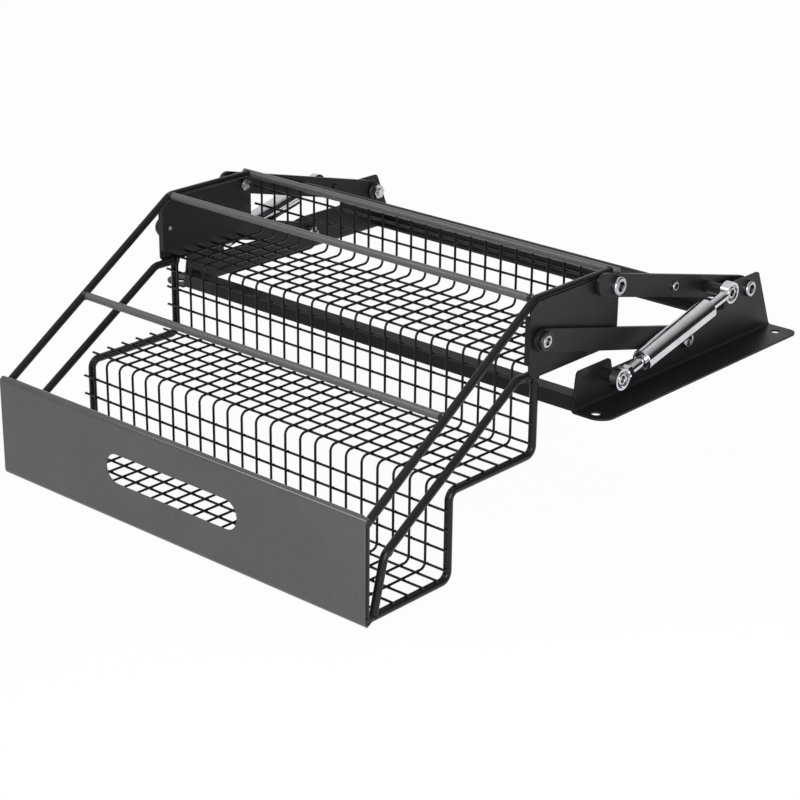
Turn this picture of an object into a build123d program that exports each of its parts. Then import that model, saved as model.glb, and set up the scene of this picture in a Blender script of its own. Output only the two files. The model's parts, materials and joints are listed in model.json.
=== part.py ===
from build123d import *
from math import atan2, cos, degrees, hypot, radians, sin
import os

os.makedirs("parts", exist_ok=True)

# Pull-down lift basket for a kitchen wall cabinet, in millimetres, in its lowered position.
# The origin is the centre of the four-bolt pattern on the underside of the bracket flanges,
# +X is to the right, +Y is towards the back of the cabinet, and +Z is up.

# Fits and gaps
weld_gap = 0.05
running_fit = 0.05
open_pivot_fit = 0.15
side_play = 0.3
hole_clearance = 0.1

# Mounting brackets, each a flange and an upright web folded from one sheet
bolt_spacing_x = 528.0
bolt_spacing_y = 287.0
bolt_hole_d = 9.0
bracket_sheet = 2.0
bracket_bend_r = 2.0
bolt_to_web = 19.0
flange_margin_x = 16.8
flange_margin_front = 11.0
flange_margin_rear = 15.0
flange_front_r = 15.0
flange_rear_r = 10.0
web_corner_r = 4.0
web_front_lean = 5.0
web_lug_rise = 12.5
web_lug_front = 33.5
web_lug_rear = 17.5
web_shoulder_rise = 14.2
web_shoulder_front = 39.5
web_shoulder_rear = 0.3
web_ear_rise = 12.3
web_ear_rear = 9.5
web_waist_rise = 1.3
web_waist_front = 12.0
web_waist_rear = 68.7

# Four-bar linkage: two pairs of equal arms, so the basket stays level
arm_length = 208.0
arm_rest_angle = 14.0
arm_travel = 90.0
upper_pivot_y = 116.0
upper_pivot_z = 48.5
link_offset_y = 100.8
link_offset_z = 24.7
arm_height = 21.0
arm_sheet = 4.0
arm_to_web = 6.5
upper_arm_overhang = 16.0
pivot_bolt_d = 8.0
pivot_head_d = 15.6
pivot_head_height = 4.2
recess_width_share = 0.55
recess_depth_share = 0.7
pivot_nut_width = 13.0
pivot_nut_height = 6.0
pivot_bolt_tip = 2.0
pivot_cap_d = 17.0
pivot_cap_height = 3.0
spacer_d = 14.0
dome_height = 5.0
dome_shoulder = 0.5
dome_crown = 0.2
head_round_share = 0.4

# Torsion tube that makes the two upper arms turn together
tube_along_arm = 115.8
tube_d = 11.0
tube_bore_d = 6.0
tube_screw_head_d = 8.7
tube_screw_head_height = 2.6
tube_screw_length = 20.0

# Dampers
damper_x = 264.0
damper_along_arm = 61.7
ear_y = -110.8
ear_z = 25.2
damper_tube_d = 20.5
damper_wall = 1.8
damper_rod_d = 9.8
damper_neck = 34.5
damper_eye_d = 20.0
damper_eye_width = 8.0
damper_dish_d = 16.0
damper_dish_depth = 3.4
damper_pin_d = 6.0
damper_stud_d = 11.0
stud_rivet_overlap = 1.5
stud_rivet_height = 1.2
stud_thread_depth = 8.0
stud_thread_end_gap = 0.5
damper_screw_d = 11.5
damper_screw_height = 3.0
damper_guide_length = 6.0
damper_nose_d = 13.5
damper_nose_length = 1.5
damper_piston_length = 5.0
piston_rod_step = 1.0
damper_plug_length = 3.0
damper_end_gap = 2.0
damper_mouth = 0.6
collar_width = 12.0
collar_length = 5.0
collar_from_eye = 9.0

# Cross members between the webs
crossbar_height = 14.0
crossbar_depth = 15.0
crossbar_sheet = 2.0
rear_crossbar_margin = 10.0

# Basket frame, with its places measured from the upper pivot on the basket
basket_reach = 312.7
basket_drop = 125.6
rod_d = 7.5
panel_rod_spacing = 88.5
lower_tread = 103.2
lower_riser = 81.1
middle_tread = 110.9
upper_riser = 75.2
upper_tread = 105.6
back_height = 67.7
stair_bend_r = 8.5
rail_bend_r = 14.0
rail_bend_from_front = 210.3
rail_drop = 3.5
mid_rod_from_front = 97.3
lower_rail_foot = 10.0
lower_rail_knee_y = 23.0
lower_rail_knee_z = 51.0
lower_rail_level = 25.0
lower_rail_bend_r = 12.0

# Front panel
panel_sheet = 1.0
panel_side_margin = 0.25
panel_slot_length = 167.0
panel_slot_height = 28.5
panel_slot_rise = 3.3
panel_wrap_angle = 150.0
panel_notch_play = 0.75

# Wire mesh
wire_d = 2.3
wire_pitch = 18.4
wire_bend_r = 6.0
wire_trim = 1.25
wire_reach = 1.85
mesh_shift = -3.4
lower_tier_start = 16.0
lower_riser_start = 15.6
middle_tier_start = 7.0
upper_riser_start = 8.6
upper_tier_start = 1.0
rear_wall_start = 14.7

# Side plates
plate_sheet = 1.6
plate_front = 14.5
plate_top_below_rail = 0.5
plate_below_tier = 1.4
plate_rear = 5.0
plate_nose_z = 6.0
plate_nose_y = 6.0
plate_fold = 6.0
plate_fold_rise = 14.0
plate_fold_end_gap = 4.6
plate_corner_r = 4.0

# Link bolts on the side plates
link_washer_d = 14.0
link_washer_thickness = 1.75
link_head_d = 17.0
link_head_height = 4.8
link_nut_width = 11.0
link_nut_height = 6.0
link_bolt_tip = 1.5
boss_d = 17.5
boss_height = 3.4
boss_rim = 0.6
boss_head_d = 12.4
link_screw_d = 4.0
link_screw_tip = 1.5

# Places worked out from the sizes above
rod_r = rod_d / 2
wire_r = wire_d / 2
web_inner_x = bolt_spacing_x / 2 - bolt_to_web
web_outer_x = web_inner_x + bracket_sheet
flange_outer_x = bolt_spacing_x / 2 + flange_margin_x
bracket_front_y = -bolt_spacing_y / 2 - flange_margin_front
bracket_rear_y = bolt_spacing_y / 2 + flange_margin_rear
arm_outer_x = web_inner_x - arm_to_web
arm_inner_x = arm_outer_x - arm_sheet
plate_outer_x = arm_inner_x - side_play - link_washer_thickness - weld_gap
plate_inner_x = plate_outer_x - plate_sheet
frame_half_width = plate_inner_x - weld_gap - rod_r
panel_half_width = frame_half_width + rod_r + panel_side_margin


def along_arm(pivot, distance, angle=arm_rest_angle):
    """Point on an arm, measured from its pivot on the web towards the basket."""
    return (pivot[0] - distance * cos(radians(angle)), pivot[1] + distance * sin(radians(angle)))


upper_base = (upper_pivot_y, upper_pivot_z)
lower_base = (upper_pivot_y - link_offset_y, upper_pivot_z - link_offset_z)
upper_link = along_arm(upper_base, arm_length)
lower_link = along_arm(lower_base, arm_length)
ear = (ear_y, ear_z)
arm_stud = along_arm(upper_base, damper_along_arm)
raised_stud = along_arm(upper_base, damper_along_arm, arm_rest_angle + arm_travel)
damper_length = hypot(arm_stud[0] - ear_y, arm_stud[1] - ear_z)
damper_raised_length = hypot(raised_stud[0] - ear_y, raised_stud[1] - ear_z)
damper_stroke = damper_raised_length - damper_length
damper_angle = degrees(atan2(arm_stud[1] - ear_z, arm_stud[0] - ear_y))

front_y = upper_link[0] - basket_reach
top_z = upper_link[1] - basket_drop
bottom_z = top_z - panel_rod_spacing
lower_riser_y = front_y + lower_tread
middle_z = bottom_z + lower_riser
upper_riser_y = lower_riser_y + middle_tread
upper_z = middle_z + upper_riser
rear_y = upper_riser_y + upper_tread
rail_z = upper_z + back_height
rail_bend_y = front_y + rail_bend_from_front


# ---------------------------------------------------------------- shared shapes


def side_plane(x):
    """Plane that looks along X, with its own axes along Y and Z."""
    return Plane(origin=(x, 0, 0), x_dir=(0, 1, 0), z_dir=(1, 0, 0))


def disc(point, x_from, x_to, diameter):
    """Round bar along X, added to the part that is being built."""
    with BuildSketch(side_plane(x_from)) as outline:
        with Locations(point):
            Circle(diameter / 2)
    extrude(outline.sketch, amount=x_to - x_from)


def bore(point, x_from, x_to, diameter):
    """Round hole along X, cut from the part that is being built."""
    with BuildSketch(side_plane(x_from)) as outline:
        with Locations(point):
            Circle(diameter / 2)
    extrude(outline.sketch, amount=x_to - x_from, mode=Mode.SUBTRACT)


def hexagon(point, x_from, x_to, width, mode=Mode.ADD):
    """Hexagonal bar along X, with one flat facing up."""
    with BuildSketch(side_plane(x_from)) as outline:
        with Locations(point):
            RegularPolygon(width / 2, 6, major_radius=False)
    extrude(outline.sketch, amount=x_to - x_from, mode=mode)


def socket_head(point, x_face, diameter, height):
    """Low screw head that stands out from x_face, with a hexagonal recess."""
    disc(point, x_face, x_face + height, diameter)
    fillet(edges().group_by(Axis.X)[-1], height * head_round_share)
    recess_from = x_face + height * (1 - recess_depth_share)
    hexagon(point, recess_from, x_face + height, diameter * recess_width_share, Mode.SUBTRACT)


def bent_rod(points, x, radius, bend_radius):
    """Round rod through points given as (y, z), with a bend at each inner point."""
    with BuildPart() as rod:
        with BuildLine() as path:
            FilletPolyline(*[(x, y, z) for y, z in points], radius=bend_radius)
        with BuildSketch(Plane(origin=path.line @ 0, z_dir=path.line % 0)):
            Circle(radius)
        sweep(path=path.line)
    return rod.part


def straight_rod(point, half_length, radius):
    """Round rod along X, centred on the middle of the basket."""
    with BuildPart() as rod:
        disc(point, -half_length, half_length, 2 * radius)
    return rod.part


def mirrored(piece):
    """The same piece on the left side."""
    return piece.part.mirror(Plane.YZ)


# ---------------------------------------------------------------- brackets

web_front = bracket_front_y + web_front_lean
lug_top = upper_pivot_z + web_lug_rise
shoulder_top = lower_base[1] + web_shoulder_rise
ear_top = ear_z + web_ear_rise
waist_top = ear_z + web_waist_rise
web_outline = [
    (bracket_front_y, 0),
    (bracket_front_y, bracket_sheet),
    (web_front, ear_top),
    (ear_y + web_ear_rear, ear_top),
    (ear_y + web_waist_front, waist_top),
    (lower_base[0] - web_waist_rear, waist_top),
    (lower_base[0] + web_shoulder_rear, shoulder_top),
    (upper_pivot_y - web_shoulder_front, shoulder_top),
    (upper_pivot_y - web_lug_front, lug_top),
    (upper_pivot_y + web_lug_rear, lug_top),
    (bracket_rear_y, bracket_sheet),
    (bracket_rear_y, 0),
]

with BuildPart() as right_bracket:
    fold_x = web_inner_x + bracket_sheet / 2
    with BuildSketch(Plane.XZ.offset(-bracket_rear_y)):
        with BuildLine():
            FilletPolyline(
                (flange_outer_x, bracket_sheet / 2),
                (fold_x, bracket_sheet / 2),
                (fold_x, lug_top),
                radius=bracket_bend_r + bracket_sheet / 2,
            )
        trace(line_width=bracket_sheet)
    extrude(amount=bracket_rear_y - bracket_front_y)
    with BuildSketch(side_plane(web_inner_x)) as web_shape:
        with BuildLine():
            Polyline(*web_outline, close=True)
        make_face()
        fillet(web_shape.vertices().sort_by(Axis.Y)[4:], web_corner_r)
    extrude(amount=flange_outer_x - web_inner_x, mode=Mode.INTERSECT)
    fillet(right_bracket.edges().filter_by(Axis.Z).sort_by(Axis.X)[-2:].sort_by(Axis.Y)[0], flange_front_r)
    fillet(right_bracket.edges().filter_by(Axis.Z).sort_by(Axis.Y)[-1], flange_rear_r)
    with BuildSketch(Plane.XY):
        with Locations((bolt_spacing_x / 2, -bolt_spacing_y / 2), (bolt_spacing_x / 2, bolt_spacing_y / 2)):
            Circle(bolt_hole_d / 2)
    extrude(amount=bracket_sheet, mode=Mode.SUBTRACT)
    for pivot in (upper_base, lower_base):
        bore(pivot, web_inner_x, web_outer_x, pivot_bolt_d + 2 * hole_clearance)
    bore(ear, web_inner_x, web_outer_x, damper_pin_d + 2 * hole_clearance)

with BuildPart() as left_bracket:
    add(mirrored(right_bracket))

# ---------------------------------------------------------------- cross members

crossbar_half = web_inner_x - weld_gap

with BuildPart() as front_crossbar:
    with BuildSketch(side_plane(-crossbar_half)):
        with BuildLine():
            Polyline(
                (bracket_front_y, bracket_sheet),
                (bracket_front_y, bracket_sheet + crossbar_height),
                (bracket_front_y + crossbar_depth, bracket_sheet + crossbar_height),
                (bracket_front_y + crossbar_depth, bracket_sheet + crossbar_height - crossbar_sheet),
                (bracket_front_y + crossbar_sheet, bracket_sheet + crossbar_height - crossbar_sheet),
                (bracket_front_y + crossbar_sheet, bracket_sheet),
                close=True,
            )
        make_face()
    extrude(amount=2 * crossbar_half)

rear_crossbar_y = bracket_rear_y - rear_crossbar_margin

with BuildPart() as rear_crossbar:
    with BuildSketch(side_plane(-crossbar_half)):
        with BuildLine():
            Polyline(
                (rear_crossbar_y, bracket_sheet),
                (rear_crossbar_y, bracket_sheet + crossbar_height),
                (rear_crossbar_y - crossbar_sheet, bracket_sheet + crossbar_height),
                (rear_crossbar_y - crossbar_sheet, bracket_sheet + crossbar_sheet),
                (rear_crossbar_y - crossbar_depth, bracket_sheet + crossbar_sheet),
                (rear_crossbar_y - crossbar_depth, bracket_sheet),
                close=True,
            )
        make_face()
    extrude(amount=2 * crossbar_half)

# ---------------------------------------------------------------- pivots on the webs

nut_face_x = arm_inner_x - side_play


def both_sides(piece):
    """Add the left copy of what has been built on the right."""
    mirror(piece.part, about=Plane.YZ)


with BuildPart() as upper_pivot_bolts:
    socket_head(upper_base, web_outer_x + weld_gap, pivot_head_d, pivot_head_height)
    tip_x = nut_face_x - pivot_cap_height - pivot_nut_height - pivot_bolt_tip
    disc(upper_base, tip_x, web_outer_x + weld_gap, pivot_bolt_d)
    both_sides(upper_pivot_bolts)

with BuildPart() as lower_pivot_bolts:
    socket_head(lower_base, web_outer_x + weld_gap, pivot_head_d, pivot_head_height)
    disc(lower_base, nut_face_x - pivot_nut_height, web_outer_x + weld_gap, pivot_bolt_d)
    both_sides(lower_pivot_bolts)

with BuildPart() as pivot_spacers:
    for pivot in (upper_base, lower_base):
        disc(pivot, arm_outer_x + side_play, web_inner_x - weld_gap, spacer_d)
        bore(pivot, arm_outer_x, web_inner_x, pivot_bolt_d + 2 * hole_clearance)
    both_sides(pivot_spacers)

with BuildPart() as upper_pivot_caps:
    disc(upper_base, nut_face_x - pivot_cap_height, nut_face_x, pivot_cap_d)
    chamfer(edges().group_by(Axis.X)[0], pivot_cap_height * 0.35)
    bore(upper_base, nut_face_x - pivot_cap_height, nut_face_x, pivot_bolt_d + 2 * hole_clearance)
    both_sides(upper_pivot_caps)

with BuildPart() as upper_pivot_nuts:
    nut_outer_x = nut_face_x - pivot_cap_height - weld_gap
    hexagon(upper_base, nut_outer_x - pivot_nut_height, nut_outer_x, pivot_nut_width)
    bore(upper_base, nut_outer_x - pivot_nut_height, nut_outer_x, pivot_bolt_d + 2 * weld_gap)
    both_sides(upper_pivot_nuts)

with BuildPart() as lower_pivot_nuts:
    dome_x = nut_face_x - pivot_nut_height
    hexagon(lower_base, dome_x, nut_face_x, pivot_nut_width)
    disc(lower_base, dome_x - dome_height, dome_x, pivot_nut_width - 2 * dome_shoulder)
    fillet(lower_pivot_nuts.edges().group_by(Axis.X)[0], dome_height - dome_crown)
    bore(lower_base, dome_x - weld_gap, nut_face_x, pivot_bolt_d + 2 * weld_gap)
    both_sides(lower_pivot_nuts)

# ---------------------------------------------------------------- arms

along = (-cos(radians(arm_rest_angle)), sin(radians(arm_rest_angle)))


def arm_blank(pivot, overhang):
    """Flat bar with round ends, from the web pivot to a little past the basket pivot."""
    middle = along_arm(pivot, (arm_length + overhang) / 2)
    with BuildSketch(side_plane(arm_inner_x)) as outline:
        with Locations(Location((middle[0], middle[1], 0), (0, 0, -arm_rest_angle))):
            SlotCenterToCenter(arm_length + overhang, arm_height)
    extrude(outline.sketch, amount=arm_sheet)


tube_point = along_arm(upper_base, tube_along_arm)
arm_span = (arm_inner_x, arm_outer_x)

with BuildPart() as right_upper_arm:
    arm_blank(upper_base, upper_arm_overhang)
    for pivot in (upper_base, upper_link):
        bore(pivot, *arm_span, pivot_bolt_d + 2 * running_fit)
    bore(tube_point, *arm_span, tube_bore_d + 2 * hole_clearance)
    bore(arm_stud, *arm_span, damper_pin_d + 2 * hole_clearance)

with BuildPart() as left_upper_arm:
    add(mirrored(right_upper_arm))

with BuildPart() as right_lower_arm:
    arm_blank(lower_base, 0)
    bore(lower_base, *arm_span, pivot_bolt_d + 2 * running_fit)
    bore(lower_link, *arm_span, pivot_bolt_d + 2 * open_pivot_fit)

with BuildPart() as left_lower_arm:
    add(mirrored(right_lower_arm))

with BuildPart() as torsion_tube:
    tube_half = arm_inner_x - weld_gap
    disc(tube_point, -tube_half, tube_half, tube_d)
    bore(tube_point, -tube_half, tube_half, tube_bore_d)

with BuildPart() as tube_screws:
    socket_head(tube_point, arm_outer_x + weld_gap, tube_screw_head_d, tube_screw_head_height)
    disc(tube_point, arm_outer_x - tube_screw_length, arm_outer_x + weld_gap, tube_bore_d - 2 * weld_gap)
    both_sides(tube_screws)

# ---------------------------------------------------------------- dampers

eye_inner_x = damper_x - damper_eye_width / 2
eye_outer_x = damper_x + damper_eye_width / 2
dish_x = eye_outer_x - damper_dish_depth
stud_end_x = eye_inner_x - side_play


def damper_stud(point, x_from, grip):
    """Stand-off that carries a damper eye, with a riveted spigot through its sheet of thickness grip."""
    disc(point, x_from + weld_gap, stud_end_x, damper_stud_d)
    rivet_x = x_from - grip - stud_rivet_height
    disc(point, rivet_x, x_from + weld_gap, damper_pin_d)
    disc(point, rivet_x, x_from - grip - weld_gap, damper_pin_d + 2 * stud_rivet_overlap)


with BuildPart() as bracket_damper_studs:
    damper_stud(ear, web_outer_x, bracket_sheet)
    both_sides(bracket_damper_studs)

with BuildPart() as arm_damper_studs:
    damper_stud(arm_stud, arm_outer_x, arm_sheet)
    bore(arm_stud, stud_end_x - stud_thread_depth, stud_end_x, damper_pin_d + 2 * weld_gap)
    both_sides(arm_damper_studs)

with BuildPart() as arm_stud_screws:
    socket_head(arm_stud, dish_x + weld_gap, damper_screw_d, damper_screw_height)
    screw_end_x = stud_end_x - stud_thread_depth + stud_thread_end_gap
    disc(arm_stud, screw_end_x, dish_x + weld_gap, damper_pin_d)
    both_sides(arm_stud_screws)

with BuildPart() as right_ear_screw:
    socket_head(ear, dish_x + weld_gap, damper_screw_d, damper_screw_height)
    disc(ear, eye_inner_x, dish_x + weld_gap, damper_pin_d)

damper_axis = (cos(radians(damper_angle)), sin(radians(damper_angle)))
tube_length = (damper_stroke + damper_guide_length + damper_piston_length + damper_plug_length
               + damper_mouth + 2 * damper_end_gap)
tube_top = damper_length - damper_neck
tube_mouth = tube_top - tube_length
damper_bore_d = damper_tube_d - 2 * damper_wall


def damper_plane(distance):
    """Plane across the damper, at a distance from the lower eye."""
    origin = (damper_x, ear_y + distance * damper_axis[0], ear_z + distance * damper_axis[1])
    return Plane(origin=origin, x_dir=(1, 0, 0), z_dir=(0, damper_axis[0], damper_axis[1]))


def damper_round(start, end, diameter, mode=Mode.ADD):
    """Round length of the damper between two distances from the lower eye."""
    with BuildSketch(damper_plane(start)) as outline:
        Circle(diameter / 2)
    extrude(outline.sketch, amount=end - start, mode=mode)


def damper_eye(point, pin_gap):
    """Eye with a dished outer face and a hole for its pin."""
    disc(point, eye_inner_x, eye_outer_x, damper_eye_d)
    bore(point, dish_x, eye_outer_x, damper_dish_d)
    bore(point, eye_inner_x, eye_outer_x, damper_pin_d + 2 * pin_gap)


with BuildPart() as right_damper_tube:
    damper_round(tube_mouth, tube_top, damper_tube_d)
    fillet(right_damper_tube.edges().group_by(Axis.Y)[-1], damper_wall)
    damper_round(tube_mouth, tube_top - damper_wall, damper_bore_d, Mode.SUBTRACT)
    damper_round(tube_top - damper_wall, tube_top, damper_rod_d + 2 * weld_gap, Mode.SUBTRACT)

plug_top = tube_top - damper_wall - weld_gap
plug_bottom = plug_top - damper_plug_length

with BuildPart() as right_tube_eye:
    damper_round(plug_bottom, plug_top, damper_bore_d - 2 * weld_gap)
    damper_round(plug_top, damper_length - damper_dish_d / 2 - weld_gap, damper_rod_d)
    damper_eye(arm_stud, running_fit)

with BuildPart() as right_damper_guide:
    guide_from = tube_mouth + damper_mouth
    guide_to = guide_from + damper_guide_length
    damper_round(guide_from, guide_from + damper_nose_length, damper_nose_d)
    damper_round(guide_from + damper_nose_length, guide_to, damper_bore_d - 2 * weld_gap)
    damper_round(guide_from, guide_to, damper_rod_d + 2 * running_fit, Mode.SUBTRACT)

piston_to = plug_bottom - damper_end_gap
piston_from = piston_to - damper_piston_length
piston_seat_d = damper_rod_d - 2 * piston_rod_step

with BuildPart() as right_damper_piston:
    damper_round(piston_from, piston_to, damper_bore_d - 2 * running_fit)
    damper_round(piston_from, piston_to, piston_seat_d + 2 * weld_gap, Mode.SUBTRACT)

collar_to = collar_from_eye + collar_length

with BuildPart() as right_damper_rod:
    damper_round(collar_to - weld_gap, piston_from - weld_gap, damper_rod_d)
    damper_round(piston_from - weld_gap, piston_to, piston_seat_d)

with BuildPart() as right_rod_eye:
    damper_round(damper_dish_d / 2 + weld_gap, collar_to - 2 * weld_gap, damper_rod_d)
    with BuildSketch(damper_plane(collar_from_eye)):
        RegularPolygon(collar_width / 2, 6, major_radius=False)
    extrude(amount=collar_length - 2 * weld_gap)
    damper_eye(ear, weld_gap)

with BuildPart() as left_damper_tube:
    add(mirrored(right_damper_tube))

with BuildPart() as left_tube_eye:
    add(mirrored(right_tube_eye))

with BuildPart() as left_damper_guide:
    add(mirrored(right_damper_guide))

with BuildPart() as left_damper_piston:
    add(mirrored(right_damper_piston))

with BuildPart() as left_damper_rod:
    add(mirrored(right_damper_rod))

with BuildPart() as left_rod_eye:
    add(mirrored(right_rod_eye))

with BuildPart() as left_ear_screw:
    add(mirrored(right_ear_screw))

# ---------------------------------------------------------------- basket frame

rail_slope = (rail_z - top_z + rail_drop) / rail_bend_from_front
rail_points = [(front_y, top_z - rail_drop), (rail_bend_y, rail_z), (rear_y, rail_z)]
lower_rail_points = [
    (front_y + lower_rail_foot, bottom_z),
    (front_y + lower_rail_knee_y, bottom_z + lower_rail_knee_z),
    (upper_riser_y - lower_rail_level, upper_z),
    (upper_riser_y + rod_r, upper_z),
]
stair_points = [
    (front_y, bottom_z),
    (lower_riser_y, bottom_z),
    (lower_riser_y, middle_z),
    (upper_riser_y, middle_z),
    (upper_riser_y, upper_z),
]
mid_rod = (front_y + mid_rod_from_front, top_z - rail_drop + mid_rod_from_front * rail_slope)
tool_r = rod_r + weld_gap
rail_rod = bent_rod(rail_points, frame_half_width, rod_r, rail_bend_r)
lower_rail_rod = bent_rod(lower_rail_points, frame_half_width, rod_r, lower_rail_bend_r)
stair_rod = bent_rod(stair_points, frame_half_width, rod_r, stair_bend_r)
rail_tool = bent_rod(rail_points, frame_half_width, tool_r, rail_bend_r)
lower_rail_tool = bent_rod(lower_rail_points, frame_half_width, tool_r, lower_rail_bend_r)
top_rod_tool = straight_rod((front_y, top_z), panel_half_width, tool_r)
bottom_rod_tool = straight_rod((front_y, bottom_z), panel_half_width, tool_r)
mesh_rod_half = arm_inner_x - side_play
mesh_rod_tool = straight_rod((rear_y, rail_z), mesh_rod_half, tool_r)

with BuildPart() as panel_top_rod:
    disc((front_y, top_z), -panel_half_width, panel_half_width, rod_d)

with BuildPart() as panel_bottom_rod:
    disc((front_y, bottom_z), -panel_half_width, panel_half_width, rod_d)

with BuildPart() as panel_uprights:
    # These stand behind the ends of the panel and are coped onto the rods around them
    with BuildSketch(Plane.XY.offset(bottom_z)):
        with Locations((frame_half_width, front_y)):
            Circle(rod_r)
    extrude(amount=top_z - bottom_z)
    for tool in (top_rod_tool, bottom_rod_tool, rail_tool):
        add(tool, mode=Mode.SUBTRACT)
    with BuildSketch(Plane.XZ.offset(-front_y)):
        with Locations((frame_half_width, bottom_z)):
            Circle(tool_r)
    extrude(amount=-rod_d, mode=Mode.SUBTRACT)
    both_sides(panel_uprights)

with BuildPart() as right_upper_rail:
    add(rail_rod)
    add(top_rod_tool, mode=Mode.SUBTRACT)
    add(mesh_rod_tool, mode=Mode.SUBTRACT)

with BuildPart() as left_upper_rail:
    add(mirrored(right_upper_rail))

with BuildPart() as right_stair_rod:
    add(stair_rod)
    add(bottom_rod_tool, mode=Mode.SUBTRACT)
    add(lower_rail_tool, mode=Mode.SUBTRACT)

with BuildPart() as left_stair_rod:
    add(mirrored(right_stair_rod))

with BuildPart() as right_lower_rail:
    # The foot is cut off level and then coped to sit on the rod below it
    add(lower_rail_rod)
    with BuildSketch(Plane.XY.offset(bottom_z)):
        with Locations((frame_half_width, front_y + lower_rail_foot)):
            Rectangle(4 * rod_d, 4 * rod_d)
    extrude(amount=-2 * rod_d, mode=Mode.SUBTRACT)
    with BuildSketch(Plane.XZ.offset(-front_y)):
        with Locations((frame_half_width, bottom_z)):
            Circle(tool_r)
    extrude(amount=-lower_tread / 2, mode=Mode.SUBTRACT)

with BuildPart() as left_lower_rail:
    add(mirrored(right_lower_rail))

with BuildPart() as mesh_top_rod:
    disc((rear_y, rail_z), -mesh_rod_half, mesh_rod_half, rod_d)

with BuildPart() as top_cross_rod:
    disc((rail_bend_y, rail_z), -frame_half_width, frame_half_width, rod_d)
    add(rail_tool, mode=Mode.SUBTRACT)
    add(rail_tool.mirror(Plane.YZ), mode=Mode.SUBTRACT)

with BuildPart() as mid_cross_rod:
    disc(mid_rod, -frame_half_width, frame_half_width, rod_d)
    add(rail_tool, mode=Mode.SUBTRACT)
    add(rail_tool.mirror(Plane.YZ), mode=Mode.SUBTRACT)

# ---------------------------------------------------------------- front panel

wrap_r = rod_r + weld_gap + panel_sheet / 2

with BuildPart() as front_panel:
    with BuildSketch(side_plane(-panel_half_width)):
        with BuildLine():
            CenterArc((front_y, bottom_z), wrap_r, 270, -90)
            Line((front_y - wrap_r, bottom_z), (front_y - wrap_r, top_z))
            CenterArc((front_y, top_z), wrap_r, 180, -panel_wrap_angle)
        trace(line_width=panel_sheet)
    extrude(amount=2 * panel_half_width)
    with BuildSketch(Plane.XZ.offset(-front_y)):
        with Locations((0, (top_z + bottom_z) / 2 + panel_slot_rise)):
            SlotOverall(panel_slot_length, panel_slot_height)
    extrude(amount=2 * wrap_r, mode=Mode.SUBTRACT)
    # The wrap is notched where the two upper rails come through it
    for side in (-1, 1):
        with BuildSketch(Plane.XY.offset(top_z)):
            with Locations((side * frame_half_width, front_y + weld_gap)):
                Rectangle(rod_d + 2 * panel_notch_play, 3 * rod_d, align=(Align.CENTER, Align.MIN))
        extrude(amount=3 * rod_d, both=True, mode=Mode.SUBTRACT)

# ---------------------------------------------------------------- wire mesh

cross_offset = rod_r + wire_r + weld_gap
long_offset = cross_offset + wire_d + weld_gap
mesh_back_y = rear_y + rod_r + wire_r + weld_gap
wire_points = [
    (front_y, bottom_z + long_offset),
    (lower_riser_y - long_offset, bottom_z + long_offset),
    (lower_riser_y - long_offset, middle_z + long_offset),
    (upper_riser_y - long_offset, middle_z + long_offset),
    (upper_riser_y - long_offset, upper_z + long_offset),
    (mesh_back_y, upper_z + long_offset),
    (mesh_back_y, rail_z),
]
one_wire = bent_rod(wire_points, 0, wire_r, wire_bend_r)
wire_count = int(2 * (frame_half_width - rod_r) / wire_pitch)

with BuildPart() as long_wires:
    # The mesh is welded on a little to the left of the frame's middle
    with Locations((mesh_shift, 0)):
        with GridLocations(wire_pitch, wire_pitch, wire_count, 1):
            add(one_wire)

stair_wire_ends = (-frame_half_width - rod_r - wire_reach, frame_half_width + rod_r - wire_trim)
plate_wire_half = plate_inner_x - weld_gap
plate_wire_ends = (-plate_wire_half, plate_wire_half)
rail_wire_ends = (-frame_half_width, frame_half_width)


def cross_wires(places, ends):
    """Straight wires along X between two ends, one at each (y, z)."""
    for place in places:
        disc(place, *ends, wire_d)


def spaced(start, room):
    """Distances a wire pitch apart, from start on, that fit in a length of room."""
    return [start + wire_pitch * n for n in range(int((room - start) / wire_pitch) + 1)]


lower_tier_ys = [lower_riser_y - d for d in spaced(lower_tier_start, lower_tread)]
foot_wire_y = lower_tier_ys.pop()
lower_riser_zs = [middle_z - d for d in spaced(lower_riser_start, lower_riser)]
middle_tier_ys = [lower_riser_y + d for d in spaced(middle_tier_start, middle_tread)]
upper_riser_zs = [upper_z - d for d in spaced(upper_riser_start, upper_riser)]
upper_tier_ys = [upper_riser_y + d for d in spaced(upper_tier_start, upper_tread)]
rear_wall_zs = [rail_z - d for d in spaced(rear_wall_start, back_height)]

with BuildPart() as lower_tier_cross_wires:
    # The wire nearest the panel is short, because the feet of the lower rails stand at its ends
    cross_wires([(y, bottom_z + cross_offset) for y in lower_tier_ys], stair_wire_ends)
    foot_wire_half = frame_half_width - rod_r - weld_gap
    cross_wires([(foot_wire_y, bottom_z + cross_offset)], (-foot_wire_half, foot_wire_half))

with BuildPart() as lower_riser_cross_wires:
    cross_wires([(lower_riser_y - cross_offset, z) for z in lower_riser_zs], stair_wire_ends)

with BuildPart() as middle_tier_cross_wires:
    cross_wires([(y, middle_z + cross_offset) for y in middle_tier_ys], stair_wire_ends)

with BuildPart() as upper_riser_cross_wires:
    cross_wires([(upper_riser_y - cross_offset, z) for z in upper_riser_zs], stair_wire_ends)

with BuildPart() as upper_tier_cross_wires:
    cross_wires([(y, upper_z + cross_offset) for y in upper_tier_ys], plate_wire_ends)

with BuildPart() as rear_wall_cross_wires:
    cross_wires([(mesh_back_y + wire_d + weld_gap, z) for z in rear_wall_zs], rail_wire_ends)

# ---------------------------------------------------------------- side plates

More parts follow.
